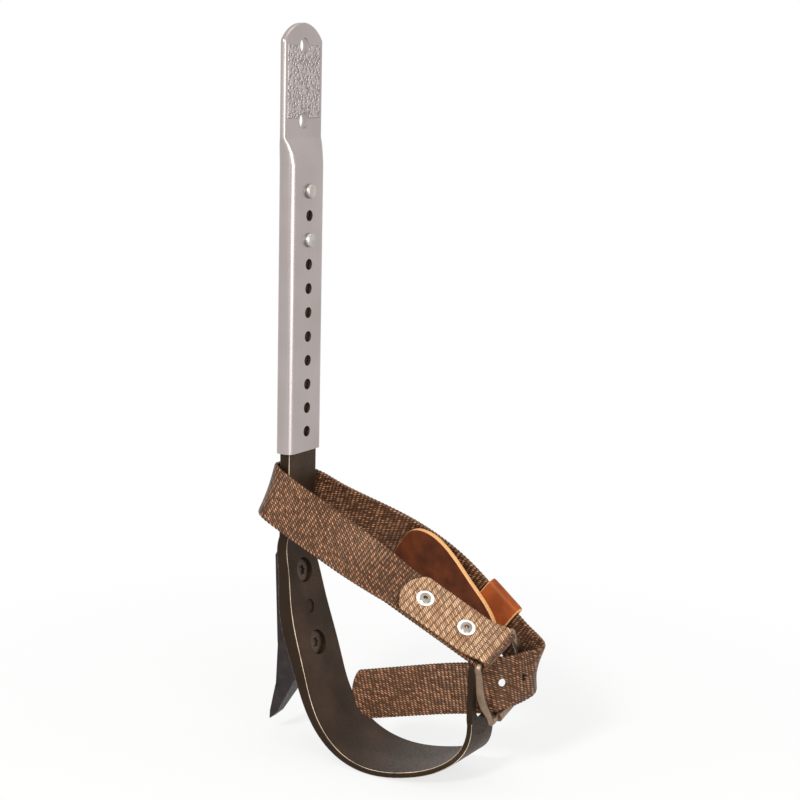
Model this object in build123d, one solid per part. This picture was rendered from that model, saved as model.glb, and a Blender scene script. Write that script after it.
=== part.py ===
from build123d import *
import os

# Pole climber, millimetres. X runs from the leg iron across the boot to the stirrup's end
# eye, Y along the boot, Z up. The origin is the lowest point of the tread, under the instep.
INCH = 25.4

# Leg iron: one forging, drawn thin under the boot
SHANK_X = -61.0
SHANK_WIDTH = 1.0 * INCH
SHANK_THICK = 0.25 * INCH
SHANK_TOP = 304.0
KNEE_TOP = 112.0
KNEE_RADIUS = 169.0
KNEE_TURN = 19.5
SHIN_LENGTH = 28.25
INSTEP_RADIUS = 46.0
TREAD_RADIUS = 92.0
TREAD_TURN = 27.0
OUTER_RADIUS = 21.4
NECK_LENGTH = 6.0
EDGE_ROUND = 1.1

# End eye that the strap passes through
EYE_THICK = 3.2
EYE_WIDTH = 23.0
EYE_BOTTOM = 24.0
EYE_TOP = 69.0
SLOT_WIDTH = 15.0
SLOT_BOTTOM = 32.5
SLOT_TOP = 65.0

# Gaff and its fasteners, set square to the knee at its middle screw line
GAFF_ALONG_KNEE = 0.71
GAFF_SCREW_PITCH = 20.0
GAFF_WIDTH = 16.0
GAFF_TIP = (-77.6, 3.5)
GAFF_HEAD_DIAMETER = 13.0
GAFF_HEAD_HEIGHT = 2.6
GAFF_SCREW_DIAMETER = 0.25 * INCH
COUNTERBORE_CLEARANCE = 0.4
HEAD_FACE = 4.6
COUNTERBORE_TOP = 12.0
DOWEL_DIAMETER = 7.5
DOWEL_FACE = 3.6
TANG_DEPTH = 7.2

# Sleeve: sheet steel formed round the shank, pressed flat into a tongue at the top
SLEEVE_BOTTOM = 157.6
SLEEVE_WIDTH = 29.8
SLEEVE_THICK = 10.7
SLEEVE_WALL = 1.85
SLEEVE_ROUND = 4.2
SLEEVE_INNER_ROUND = 1.2
SHOULDER_BOTTOM = 309.0
TONGUE_BOTTOM = 323.0
TONGUE_TOP = 381.0
TONGUE_WIDTH = 29.6
TONGUE_THICK = 4.3
TONGUE_OFFSET = -0.85
PAD_HOLE_DIAMETER = 7.9
PAD_HOLE_TOP = 369.5
PAD_HOLE_PITCH = 1.5 * INCH
HOLE_DIAMETER = 5.8
HOLE_TOP = 295.4
HOLE_PITCH = 0.5 * INCH
HOLE_COUNT = 11
SLEEVE_SCREW_HOLES = (0, 2)
SCREW_DIAMETER = 5.0
SCREW_HEAD_DIAMETER = 7.6
SCREW_HEAD_HEIGHT = 2.2
SLIP = 0.1

# Ankle strap: flat webbing
STRAP_WIDTH = 27.0
STRAP_THICK = 2.3
LAYER_GAP = 0.1
TIP_TAPER = 8.0
TIP_WIDTH = 13.0
TAIL_LENGTH = 57.0
RIVET_PLACES = (18.0, 44.0)
RIVET_DIAMETER = 4.0
RIVET_HOLE = 2.5
WASHER_DIAMETER = 9.4
WASHER_THICK = 0.8
ROLL_DIAMETER = 6.0
ROLL_HEIGHT = 0.7
STRAP_HOLE_DIAMETER = 4.0
FIRST_BUCKLE_HOLE = 75.0
BUCKLE_HOLE_PITCH = 0.5 * INCH
BUCKLE_HOLE_COUNT = 4

# Roller buckle, held in the strap's riveted fold
HEEL = Vector(64.5, -4.5, 72.0)
HEEL_DIRECTION = Vector(-0.12, -0.90, -0.42).normalized()
BUCKLE_NORMAL = (Vector(1, 0, 0) - HEEL_DIRECTION * HEEL_DIRECTION.X).normalized()
WIRE_DIAMETER = 3.4
BUCKLE_REACH = 37.4
BUCKLE_WIDTH = 31.4
HEEL_CORNER = 1.8
FRONT_CORNER_ROUND = 5.0
ROLLER_DIAMETER = 6.4
ROLLER_LENGTH = 20.0
ROLLER_CLEARANCE = 0.08
PRONG_DIAMETER = 2.4
PRONG_LENGTH = 30.0
PRONG_ANGLE = 80.0
PRONG_EYE_CLEARANCE = 0.1
PRONG_SLOT_WIDTH = 6.0
PRONG_SLOT_BACK = 11.5

# Where the strap rounds the shank, seen as the middle of its front run's far end
FRONT_CORNER = Vector(-62.0, -20.5, 138.0)
STRAP_RUN = (HEEL - FRONT_CORNER).normalized()
STRAP_NORMAL = (HEEL_DIRECTION.cross(STRAP_RUN)).normalized()
FOLD_RADIUS = WIRE_DIAMETER / 2 + 0.25 + STRAP_THICK / 2

# Straight stretch of the rear run, where the leather keeper sits
KEEPER_START = Vector(27.0, 31.0, 90.5)
KEEPER_END = Vector(58.5, 30.5, 65.5)
KEEPER_WIDTH_DIRECTION = Vector(-0.60, 0.15, -0.78)
KEEPER_LENGTH = 22.0
LEATHER = 2.6
KEEPER_ROOM = 0.6
GUARD_THICK = 3.0
GUARD_LEFT = -62.0
GUARD_RIGHT = 12.0
KEEPER_RIVET_DIAMETER = 7.0
KEEPER_RIVET_SHANK = 3.0
KEEPER_RIVET_DROP = 10.0


def on_shank(z):
    """Plane across the inner face of the sleeve at height z, looking along +X."""
    return Plane(origin=(SHANK_X, 0, z), x_dir=(0, 1, 0), z_dir=(1, 0, 0))


def iron_centre_line():
    """The forging's centre line below the shank: knee, shin, instep, tread, outer bend and neck."""
    knee = JernArc((SHANK_X, KNEE_TOP), (0, -1), KNEE_RADIUS, KNEE_TURN)
    shin = Line(knee @ 1, (knee @ 1) + (knee % 1) * SHIN_LENGTH)
    instep = JernArc(shin @ 1, shin % 1, INSTEP_RADIUS, 90 - KNEE_TURN)
    tread = JernArc(instep @ 1, instep % 1, TREAD_RADIUS, TREAD_TURN)
    outer = JernArc(tread @ 1, tread % 1, OUTER_RADIUS, 90 - TREAD_TURN)
    neck = Line(outer @ 1, (outer @ 1) + (outer % 1) * NECK_LENGTH)
    return [Plane.XZ * piece for piece in (knee, shin, instep, tread, outer, neck)]


KNEE, SHIN, INSTEP, TREAD, OUTER, NECK = iron_centre_line()
# Width and thickness of the forging at points along its centre line
IRON_SECTIONS = [
    (KNEE, 0.0, SHANK_WIDTH, SHANK_THICK),
    (KNEE, 0.3, 28.0, 7.2),
    (KNEE, 0.65, 33.5, 8.6),
    (KNEE, 1.0, 36.5, 8.4),
    (SHIN, 0.5, 37.0, 7.4),
    (SHIN, 1.0, 37.5, 6.4),
    (INSTEP, 0.3, 39.5, 5.4),
    (INSTEP, 0.65, 44.0, 4.2),
    (INSTEP, 1.0, 47.0, 3.4),
    (TREAD, 0.5, 46.0, 3.2),
    (TREAD, 1.0, 38.0, EYE_THICK),
    (OUTER, 0.5, 29.0, EYE_THICK),
    (OUTER, 1.0, 23.6, EYE_THICK),
    (NECK, 1.0, EYE_WIDTH, EYE_THICK),
]
GAFF_NORMAL = Vector(0, -1, 0).cross(KNEE % GAFF_ALONG_KNEE)
GAFF_PLANE = Plane(origin=KNEE @ GAFF_ALONG_KNEE, x_dir=(0, 1, 0), z_dir=GAFF_NORMAL)
BUCKLE_PLANE = Plane(origin=HEEL, x_dir=BUCKLE_NORMAL.cross(HEEL_DIRECTION), z_dir=BUCKLE_NORMAL)


def rod(plane, diameter, start, end):
    """Round bar along a plane's normal, from one height over the plane to another."""
    return plane.offset(start) * extrude(Circle(diameter / 2), end - start)


def sleeve_screw_heights():
    """Heights of the two tapped holes in the shank."""
    return [HOLE_TOP - HOLE_PITCH * place for place in SLEEVE_SCREW_HOLES]


def gaff_screw_planes():
    """Planes of the upper and lower gaff screws, square to the knee's middle."""
    places = [GAFF_PLANE.from_local_coords((0, side * GAFF_SCREW_PITCH, 0)) for side in (1, -1)]
    return [Plane(origin=place, x_dir=GAFF_PLANE.x_dir, z_dir=GAFF_PLANE.z_dir) for place in places]


def forging():
    """Shank, lofted knee and stirrup, and the flat end eye, before any drilling."""
    shank = Pos(SHANK_X, 0, KNEE_TOP) * extrude(
        RectangleRounded(SHANK_THICK, SHANK_WIDTH, EDGE_ROUND), SHANK_TOP - KNEE_TOP
    )
    sections = []
    for line, along, width, thick in IRON_SECTIONS:
        across = Plane(origin=line @ along, x_dir=(0, 1, 0), z_dir=line % along)
        sections.append(across * RectangleRounded(width, thick, EDGE_ROUND))
    eye_middle = Vector((NECK @ 1).X, 0, (EYE_BOTTOM + EYE_TOP) / 2)
    eye_face = Plane(origin=eye_middle, x_dir=(0, 1, 0), z_dir=(1, 0, 0))
    plate = RectangleRounded(EYE_WIDTH, EYE_TOP - EYE_BOTTOM, EYE_WIDTH / 2 - 0.1)
    slot = Pos(0, (SLOT_BOTTOM + SLOT_TOP) / 2 - eye_middle.Z) * RectangleRounded(
        SLOT_WIDTH, SLOT_TOP - SLOT_BOTTOM, SLOT_WIDTH / 2 - 0.1
    )
    slot_cut = eye_face * extrude(slot, EYE_THICK, both=True)
    eye = eye_face * extrude(plate, EYE_THICK / 2, both=True)
    return shank + loft(sections) + eye - slot_cut


def leg_iron(iron):
    """The forging with its tapped, counterbored and dowel holes."""
    for height in sleeve_screw_heights():
        iron -= rod(on_shank(height), SCREW_DIAMETER, -SHANK_THICK, SHANK_THICK)
    for place in gaff_screw_planes():
        iron -= rod(place, GAFF_SCREW_DIAMETER, -COUNTERBORE_TOP, COUNTERBORE_TOP)
        bore = GAFF_HEAD_DIAMETER + COUNTERBORE_CLEARANCE
        iron -= rod(place, bore, HEAD_FACE - GAFF_HEAD_HEIGHT, COUNTERBORE_TOP)
    iron -= rod(GAFF_PLANE, DOWEL_DIAMETER, -COUNTERBORE_TOP, COUNTERBORE_TOP)
    return iron


def gaff(iron):
    """Spike and tang: a side profile cut to a pointed front view and seated on the iron."""
    tip_x, tip_z = GAFF_TIP
    side = make_face(
        Polyline(
            (-61, 106), (-66.5, 106), (-69.5, 100), (-67.5, 50), (-70, 27), (tip_x, tip_z),
            (-74.8, 5.5), (-71, 9), (-48, 46), (-53, 62), (-58, 85), close=True,
        )
    )
    front = make_face(
        Polyline(
            (GAFF_WIDTH / 2, 110), (GAFF_WIDTH / 2, 52), (5.5, 25), (3, 9), (0.4, tip_z - 1),
            (-0.4, tip_z - 1), (-3, 9), (-5.5, 25), (-GAFF_WIDTH / 2, 52), (-GAFF_WIDTH / 2, 110), close=True,
        )
    )
    spike = Plane.XZ * extrude(side, GAFF_WIDTH, both=True)
    spike &= Plane.YZ * extrude(front, 100, both=True)
    spike -= iron
    for place in gaff_screw_planes():
        spike -= rod(place, GAFF_SCREW_DIAMETER, -TANG_DEPTH, COUNTERBORE_TOP)
    return spike - rod(GAFF_PLANE, DOWEL_DIAMETER, -TANG_DEPTH, COUNTERBORE_TOP)


def gaff_screw(place):
    """Flat-head screw from the inner face of the iron into the gaff's tang."""
    head = rod(place, GAFF_HEAD_DIAMETER, HEAD_FACE - GAFF_HEAD_HEIGHT, HEAD_FACE)
    head = chamfer(head.edges().sort_by(Axis(place.origin, place.z_dir))[-1:], 0.3)
    return head + rod(place, GAFF_SCREW_DIAMETER, -TANG_DEPTH, HEAD_FACE - GAFF_HEAD_HEIGHT)


def gaff_dowel_pin():
    """Dowel that takes the gaff's side load off the screws."""
    return rod(GAFF_PLANE, DOWEL_DIAMETER, -TANG_DEPTH, DOWEL_FACE)


def sleeve():
    """Formed tube, pressed shoulder and flat tongue, with the height holes and pad holes."""
    outline = RectangleRounded(SLEEVE_THICK, SLEEVE_WIDTH, SLEEVE_ROUND)
    flat = Pos(TONGUE_OFFSET, 0) * RectangleRounded(TONGUE_THICK, TONGUE_WIDTH, 1.2)
    tube = Pos(SHANK_X, 0, SLEEVE_BOTTOM) * extrude(outline, SHOULDER_BOTTOM - SLEEVE_BOTTOM)
    shoulder = loft([Pos(SHANK_X, 0, SHOULDER_BOTTOM) * outline, Pos(SHANK_X, 0, TONGUE_BOTTOM) * flat])
    round_centre = TONGUE_TOP - TONGUE_WIDTH / 2
    tongue = Pos(SHANK_X, 0, TONGUE_BOTTOM) * extrude(flat, round_centre - TONGUE_BOTTOM)
    crown = Plane(origin=(SHANK_X + TONGUE_OFFSET, 0, round_centre), x_dir=(0, 1, 0), z_dir=(1, 0, 0))
    crown_disc = extrude(Circle(TONGUE_WIDTH / 2), TONGUE_THICK / 2, both=True)
    crown_disc = fillet(crown_disc.edges().filter_by(GeomType.CIRCLE), 1.1)
    inside = RectangleRounded(
        SLEEVE_THICK - 2 * SLEEVE_WALL, SLEEVE_WIDTH - 2 * SLEEVE_WALL, SLEEVE_INNER_ROUND
    )
    body = tube + shoulder + tongue + crown * crown_disc
    body -= Pos(SHANK_X, 0, SLEEVE_BOTTOM) * extrude(inside, SHOULDER_BOTTOM - 1 - SLEEVE_BOTTOM)
    for place in range(HOLE_COUNT):
        body -= rod(on_shank(HOLE_TOP - HOLE_PITCH * place), HOLE_DIAMETER, 0, SLEEVE_THICK)
    for place in range(2):
        height = PAD_HOLE_TOP - PAD_HOLE_PITCH * place
        body -= rod(on_shank(height), PAD_HOLE_DIAMETER, -SLEEVE_THICK, SLEEVE_THICK)
    return body


def sleeve_screw(height):
    """Button-head screw through one of the sleeve's holes into the shank."""
    seat = SLEEVE_THICK / 2 + SLIP
    head = rod(on_shank(height), SCREW_HEAD_DIAMETER, seat, seat + SCREW_HEAD_HEIGHT)
    head = fillet(head.edges().group_by(Axis.X)[-1], 1.6)
    return head + rod(on_shank(height), SCREW_DIAMETER, -SHANK_THICK / 2, seat)


def fold_stations():
    """The strap's riveted tail, its fold round the buckle's heel bar and the run back to the shank."""
    tail_lift = STRAP_THICK + LAYER_GAP - FOLD_RADIUS
    stations = []
    for back, lift, width in (
        (TAIL_LENGTH, tail_lift, STRAP_WIDTH - 8),
        (TAIL_LENGTH - 4, tail_lift, STRAP_WIDTH),
        (12.5, tail_lift, STRAP_WIDTH),
        (5, tail_lift + 2.2, STRAP_WIDTH),
    ):
        stations.append((HEEL - STRAP_RUN * back + STRAP_NORMAL * lift, HEEL_DIRECTION, width))
    for turn in range(0, 181, 20):
        round_bar = STRAP_NORMAL.rotate(Axis((0, 0, 0), HEEL_DIRECTION), -turn)
        stations.append((HEEL + round_bar * FOLD_RADIUS, HEEL_DIRECTION, STRAP_WIDTH))
    under = HEEL - STRAP_NORMAL * FOLD_RADIUS
    for back, direction in (
        (20, HEEL_DIRECTION),
        (40, HEEL_DIRECTION),
        (60, HEEL_DIRECTION),
        (90, Vector(-0.25, -0.66, -0.71)),
    ):
        stations.append((under - STRAP_RUN * back, direction, STRAP_WIDTH))
    return stations


def loose_route():
    """Points on the strap's middle past the front run, each with the direction across the webbing."""
    under = HEEL - STRAP_NORMAL * FOLD_RADIUS
    across = KEEPER_WIDTH_DIRECTION
    straight = KEEPER_END - KEEPER_START
    round_shank = [
        (under - STRAP_RUN * 119, Vector(-0.27, -0.50, -0.82)),
        (under - STRAP_RUN * 131, Vector(-0.27, -0.45, -0.85)),
        (Vector(-62.5, -19.3, 136.2), Vector(-0.26, -0.36, -0.89)),
        (Vector(-69.6, -13.0, 138.6), Vector(-0.22, -0.20, -0.95)),
        (Vector(-68.0, 0, 136.8), Vector(-0.12, 0.0, -0.99)),
        (Vector(-67.8, 10.5, 133.5), Vector(-0.12, 0.08, -0.99)),
        (Vector(-61.5, 18.6, 130), Vector(-0.15, 0.15, -0.97)),
        (Vector(-48, 21.5, 125), Vector(-0.20, 0.20, -0.95)),
        (Vector(-4, 32, 107.5), Vector(-0.32, 0.21, -0.92)),
    ]
    in_keeper = [(KEEPER_START + straight * (step / 4), across) for step in range(5)]
    to_tip = [
        (Vector(67, 29.5, 60), Vector(-0.35, 0.08, -0.93)),
        (Vector(73.2, 25, 56.5), Vector(-0.20, -0.05, -0.97)),
        (Vector(72.2, 18.5, 54), Vector(-0.10, -0.20, -0.97)),
        (Vector(65, 4.2, 52.0), Vector(0, -0.33, -0.94)),
        (Vector(55.2, -1.0, 49.0), Vector(0.05, -0.10, -0.99)),
        (Vector(43, -2.6, 46.4), Vector(0.10, -0.08, -0.99)),
        (Vector(21, -4, 41.2), Vector(0.15, -0.03, -0.99)),
        (Vector(-10, -6, 33.3), Vector(0.20, 0, -0.98)),
        (Vector(-18.5, -6.5, 31.2), Vector(0.20, 0, -0.98)),
    ]
    return round_shank + in_keeper + to_tip


LOOSE_ROUTE = Spline(*[point for point, _ in loose_route()])
ROUTE_STOPS = [LOOSE_ROUTE.param_at_point(point) for point, _ in loose_route()]


def across_route(at):
    """Direction across the webbing at one place on the loose route, shared out between its points."""
    widths = [width for _, width in loose_route()]
    before = max(index for index, stop in enumerate(ROUTE_STOPS[:-1]) if stop <= at + 1e-9)
    share = (at - ROUTE_STOPS[before]) / (ROUTE_STOPS[before + 1] - ROUTE_STOPS[before])
    return widths[before] * (1 - share) + widths[before + 1] * share


def loose_stations(count):
    """Even stations along the loose route, ending in the clipped tip."""
    tip = LOOSE_ROUTE @ 1
    places = [step / count for step in range(count)]
    full = [at for at in places if (LOOSE_ROUTE @ at - tip).length > TIP_TAPER + 1]
    stations = [(LOOSE_ROUTE @ at, across_route(at), STRAP_WIDTH) for at in full]
    shoulder = tip - (LOOSE_ROUTE % 1) * TIP_TAPER
    return stations + [(shoulder, across_route(1), STRAP_WIDTH), (tip, across_route(1), TIP_WIDTH)]


def buckle_hole_planes():
    """Planes on the webbing at the prong holes, counted back from the tip."""
    planes = []
    for place in range(BUCKLE_HOLE_COUNT):
        back = FIRST_BUCKLE_HOLE + place * BUCKLE_HOLE_PITCH
        at = LOOSE_ROUTE.param_at_point(LOOSE_ROUTE.position_at(LOOSE_ROUTE.length - back, PositionMode.LENGTH))
        run = LOOSE_ROUTE % at
        planes.append(Plane(origin=LOOSE_ROUTE @ at, x_dir=run, z_dir=run.cross(across_route(at))))
    return planes


def webbing_section(stations, index):
    """Rectangle of webbing square to the route at one station."""
    centre, direction, width = stations[index]
    ahead = stations[min(index + 1, len(stations) - 1)][0]
    behind = stations[max(index - 1, 0)][0]
    run = (ahead - behind).normalized()
    half_width = (direction - run * direction.dot(run)).normalized() * (width / 2)
    half_thick = run.cross(half_width).normalized() * (STRAP_THICK / 2)
    corners = [half_width + half_thick, half_thick - half_width, (half_width + half_thick) * -1, half_width - half_thick]
    return make_face(Polyline(*[centre + corner for corner in corners], close=True))


def ankle_strap():
    """One length of webbing: tail, fold, front run, loop round the shank, rear run, turn and tip."""
    stations = fold_stations() + loose_stations(90)
    band = loft([webbing_section(stations, index) for index in range(len(stations))], ruled=True)
    for place in rivet_planes():
        band -= rod(place, RIVET_DIAMETER, -8, 6)
    for place in buckle_hole_planes():
        band -= rod(place, STRAP_HOLE_DIAMETER, -STRAP_THICK, STRAP_THICK)
    front = FOLD_RADIUS + STRAP_THICK
    slot = Box(PRONG_SLOT_BACK + front, PRONG_SLOT_WIDTH, 4 * FOLD_RADIUS)
    fold_face = Plane(origin=HEEL, x_dir=STRAP_RUN, z_dir=STRAP_NORMAL)
    return band - fold_face * Pos((front - PRONG_SLOT_BACK) / 2, 0, 0) * slot


def rivet_planes():
    """Planes on the strap's fold at each rivet, square to the webbing."""
    places = [HEEL - STRAP_RUN * back for back in RIVET_PLACES]
    return [Plane(origin=place, x_dir=STRAP_RUN, z_dir=STRAP_NORMAL) for place in places]


TAIL_FACE = STRAP_THICK * 1.5 + LAYER_GAP - FOLD_RADIUS
RUN_FACE = -FOLD_RADIUS - STRAP_THICK / 2


def rivet(place):
    """Tubular rivet with its end rolled over the front washer."""
    body = rod(place, RIVET_DIAMETER, RUN_FACE - WASHER_THICK, TAIL_FACE + WASHER_THICK)
    body += rod(place, ROLL_DIAMETER, TAIL_FACE + WASHER_THICK, TAIL_FACE + WASHER_THICK + ROLL_HEIGHT)
    return body - rod(place, RIVET_HOLE, TAIL_FACE - 2, TAIL_FACE + 4)


def rivet_washer(place, start):
    """Plain washer round a rivet."""
    return rod(place, WASHER_DIAMETER, start, start + WASHER_THICK) - rod(place, RIVET_DIAMETER, -10, 10)


def buckle_frame():
    """Closed wire frame: heel bar in the fold, two arms and the front bar that carries the roller."""
    outline = Pos(BUCKLE_REACH / 2, 0) * Rectangle(BUCKLE_REACH, BUCKLE_WIDTH)
    outline = fillet(outline.vertices().group_by(Axis.X)[0], HEEL_CORNER)
    outline = fillet(outline.vertices().group_by(Axis.X)[-1], FRONT_CORNER_ROUND)
    path = outline.wire()
    start = Plane(origin=path @ 0, z_dir=path % 0)
    return BUCKLE_PLANE * sweep(start * Circle(WIRE_DIAMETER / 2), path)


def roller_plane():
    """Plane across the front bar at its middle, looking along the bar."""
    middle = HEEL + BUCKLE_PLANE.x_dir * BUCKLE_REACH
    return Plane(origin=middle, x_dir=BUCKLE_PLANE.x_dir, z_dir=HEEL_DIRECTION)


def buckle_roller():
    """Tube that turns on the buckle's front bar."""
    half = ROLLER_LENGTH / 2
    bore = WIRE_DIAMETER + 2 * ROLLER_CLEARANCE
    return rod(roller_plane(), ROLLER_DIAMETER, -half, half) - rod(roller_plane(), bore, -half, half)


def buckle_prong():
    """Wire prong with an eye round the heel bar, lying back under the front run."""
    bore = WIRE_DIAMETER + 2 * PRONG_EYE_CLEARANCE
    across = Plane(origin=(0, 0, 0), x_dir=(1, 0, 0), z_dir=(0, 1, 0))
    half = PRONG_DIAMETER / 2
    eye = rod(across, bore + 2 * PRONG_DIAMETER, -half, half)
    shaft = Plane(origin=(bore / 2 + half, 0, 0), z_dir=(1, 0, 0)) * extrude(Circle(half), PRONG_LENGTH)
    prong = eye + shaft - rod(across, bore, -4, 4)
    return BUCKLE_PLANE * Rot(0, PRONG_ANGLE, 0) * prong


def keeper_plane():
    """Plane at the middle of the keeper: x along the strap, y up across it, z to the boot's side."""
    run = (KEEPER_END - KEEPER_START).normalized()
    up = (run * KEEPER_WIDTH_DIRECTION.dot(run) - KEEPER_WIDTH_DIRECTION).normalized()
    return Plane(origin=(KEEPER_START + KEEPER_END) * 0.5, x_dir=run, z_dir=run.cross(up))


KEEPER_HALF = STRAP_THICK / 2 + KEEPER_ROOM + LEATHER


def leather_keeper():
    """Leather loop round the rear run."""
    room = STRAP_THICK + 2 * KEEPER_ROOM
    across = Plane(origin=(-KEEPER_LENGTH / 2, 0, 0), x_dir=(0, 1, 0), z_dir=(1, 0, 0))
    tall = STRAP_WIDTH + 2 * KEEPER_ROOM
    outside = RectangleRounded(tall + 2 * LEATHER, room + 2 * LEATHER, LEATHER + 0.8)
    loop = extrude(outside - RectangleRounded(tall, room, 0.8), KEEPER_LENGTH)
    return keeper_plane() * across * loop


def leather_guard():
    """Leather pad on the boot's side of the keeper, rounded at its free end."""
    outline = make_face(
        FilletPolyline(
            (GUARD_LEFT, -22), (GUARD_LEFT, 9), (-36, 13.5), (-16, 9.5), (GUARD_RIGHT, 2), (GUARD_RIGHT, -16),
            (-30, -25), radius=7, close=True,
        )
    )
    return keeper_plane() * Pos(0, 0, KEEPER_HALF) * extrude(outline, GUARD_THICK)


def keeper_rivet_plane():
    """Plane of the keeper's rivet, low on the guard."""
    middle = keeper_plane()
    place = middle.from_local_coords((0, -KEEPER_RIVET_DROP, 0))
    return Plane(origin=place, x_dir=middle.x_dir, z_dir=middle.z_dir)


def keeper_rivet():
    """Rivet that holds the guard to the keeper's front wall."""
    place = keeper_rivet_plane()
    wall = KEEPER_HALF - LEATHER
    shank = rod(place, KEEPER_RIVET_SHANK, wall, KEEPER_HALF + GUARD_THICK)
    return shank + rod(place, KEEPER_RIVET_DIAMETER, KEEPER_HALF + GUARD_THICK, KEEPER_HALF + GUARD_THICK + 1)


def build():
    """Every piece by node name."""
    blank = forging()
    keeper_hole = rod(keeper_rivet_plane(), KEEPER_RIVET_SHANK, 0, 20)
    parts = {
        "leg_iron": leg_iron(blank),
        "gaff": gaff(blank),
        "gaff_dowel_pin": gaff_dowel_pin(),
        "sleeve": sleeve(),
        "ankle_strap": ankle_strap(),
        "buckle_frame": buckle_frame(),
        "buckle_roller": buckle_roller(),
        "buckle_prong": buckle_prong(),
        "leather_guard": leather_guard() - keeper_hole,
        "leather_keeper": leather_keeper() - keeper_hole,
        "keeper_rivet": keeper_rivet(),
    }
    for name, place in zip(("upper", "lower"), gaff_screw_planes()):
        parts["gaff_screw_" + name] = gaff_screw(place)
    for name, height in zip(("upper", "lower"), sleeve_screw_heights()):
        parts["sleeve_screw_" + name] = sleeve_screw(height)
    for name, place in zip(("lower", "upper"), rivet_planes()):
        parts["strap_rivet_" + name] = rivet(place)
        parts["rivet_washer_" + name] = rivet_washer(place, TAIL_FACE)
        parts["rivet_cap_" + name] = rivet_washer(place, RUN_FACE - WASHER_THICK)
    return parts


os.makedirs("parts", exist_ok=True)
for node, shape in build().items():
    export_step(shape, f"parts/{node}.step")
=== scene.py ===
import bpy
import numpy as np
from mathutils import Matrix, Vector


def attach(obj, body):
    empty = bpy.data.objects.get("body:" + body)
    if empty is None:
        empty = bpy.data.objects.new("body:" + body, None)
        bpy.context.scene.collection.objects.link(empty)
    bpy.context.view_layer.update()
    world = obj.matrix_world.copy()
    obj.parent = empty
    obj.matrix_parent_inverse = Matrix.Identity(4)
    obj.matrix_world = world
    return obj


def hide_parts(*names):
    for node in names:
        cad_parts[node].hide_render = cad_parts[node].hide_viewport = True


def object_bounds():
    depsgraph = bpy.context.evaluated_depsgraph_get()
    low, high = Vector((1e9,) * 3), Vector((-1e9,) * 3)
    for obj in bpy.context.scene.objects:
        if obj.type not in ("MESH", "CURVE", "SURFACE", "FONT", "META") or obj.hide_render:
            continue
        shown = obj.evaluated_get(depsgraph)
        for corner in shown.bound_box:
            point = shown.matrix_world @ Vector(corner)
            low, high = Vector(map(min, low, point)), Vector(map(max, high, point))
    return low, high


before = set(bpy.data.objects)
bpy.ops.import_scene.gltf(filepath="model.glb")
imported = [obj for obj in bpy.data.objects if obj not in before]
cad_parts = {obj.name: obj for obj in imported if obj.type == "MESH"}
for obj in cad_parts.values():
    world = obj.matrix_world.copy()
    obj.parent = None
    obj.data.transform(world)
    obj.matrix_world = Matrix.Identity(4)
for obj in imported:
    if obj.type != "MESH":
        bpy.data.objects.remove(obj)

CAD_BOX = [list(corner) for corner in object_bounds()]

# Sizes are in millimetres and angles in degrees. Meshes and sockets take metres
MM = 0.001
PER_MM = 1000.0
NEAR_ZERO = 1e-6

# Faces of a metal piece that meet at more than this angle keep a crisp edge
CRISP_ANGLE = 35.0

# Photograph's camera: where it looks, from how far, its axes and its lens
CAMERA_TARGET = (2.21, 0.0, 192.0)
CAMERA_DISTANCE = 922.55
CAMERA_BACK = (0.5169, -0.8364, 0.1824)
CAMERA_ROLL = 1.303
CAMERA_LENS = 81.0
CAMERA_SENSOR = 36.0
CAMERA_NEAR = 10.0

# White room, in metres: the floor, how its shadow fades with distance from the middle, and the share of
# the white world that lights the object. A lamp's row is its name, place, aim, size and power in watts
FLOOR_HALF = 4.0
FLOOR_GAP = 0.0005
SHADOW_NEAR = 0.12
SHADOW_FAR = 0.4
SHADOW_WHITE = 0.75
ROOM_LIGHT = 0.48
LAMPS = (
    ("key_lamp", (0.12, -1.33, 1.0), (0, 0, 0.15), 0.28, 17.0),
    ("top_lamp", (0.15, 0.2, 1.5), (0, 0, 0.1), 0.9, 2.5),
    ("fill_lamp", (1.3, -0.7, 0.6), (0, 0, 0.15), 0.9, 5.0),
    ("edge_lamp", (0.61, -0.41, 0.22), (-0.06, 0, 0.25), 0.4, 1.5),
)

# Ankle strap: a flat nylon webbing on the same route as its solid. Its columns are places across it, from
# the middle to the selvedge
STRAP_HALF_WIDTH = 13.35
STRAP_HALF_THICK = 1.05
STRAP_COLUMNS = (
    0, 0.6, 1.4, 2.2, 3.0, 4.4, 5.8, 7.2, 8.6, 10.0, 11.2, 12.1, 12.7, 13.1, STRAP_HALF_WIDTH,
)
STRAP_STEP = 0.475
ROUTE_POINTS = 6000
RIB_PITCH = 2.2
RIB_RISE = 0.08
SELVEDGE_SHARE = 0.85
SELVEDGE_TOOTH = 0.34
SELVEDGE_POWER = 26
SELVEDGE_THINNING = 0.75
END_BOW = 6.5
END_BOW_REACH = 16.0
TAIL_LENGTH = 57.0
TAIL_LIFT = -0.7
TURNED_FACE_END = TAIL_LENGTH + 2.0
FOLD_RADIUS = 3.1
FOLD_LIFT = 2.2
PRONG_SLOT_HALF = 2.2
PRONG_SLOT_START = 98.0
PRONG_SLOT_BACK = 11.5
FIRST_BUCKLE_HOLE = 75.0
BUCKLE_HOLE_PITCH = 12.7
BUCKLE_HOLE_COUNT = 4
BUCKLE_HOLE_RADIUS = 2.0

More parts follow.
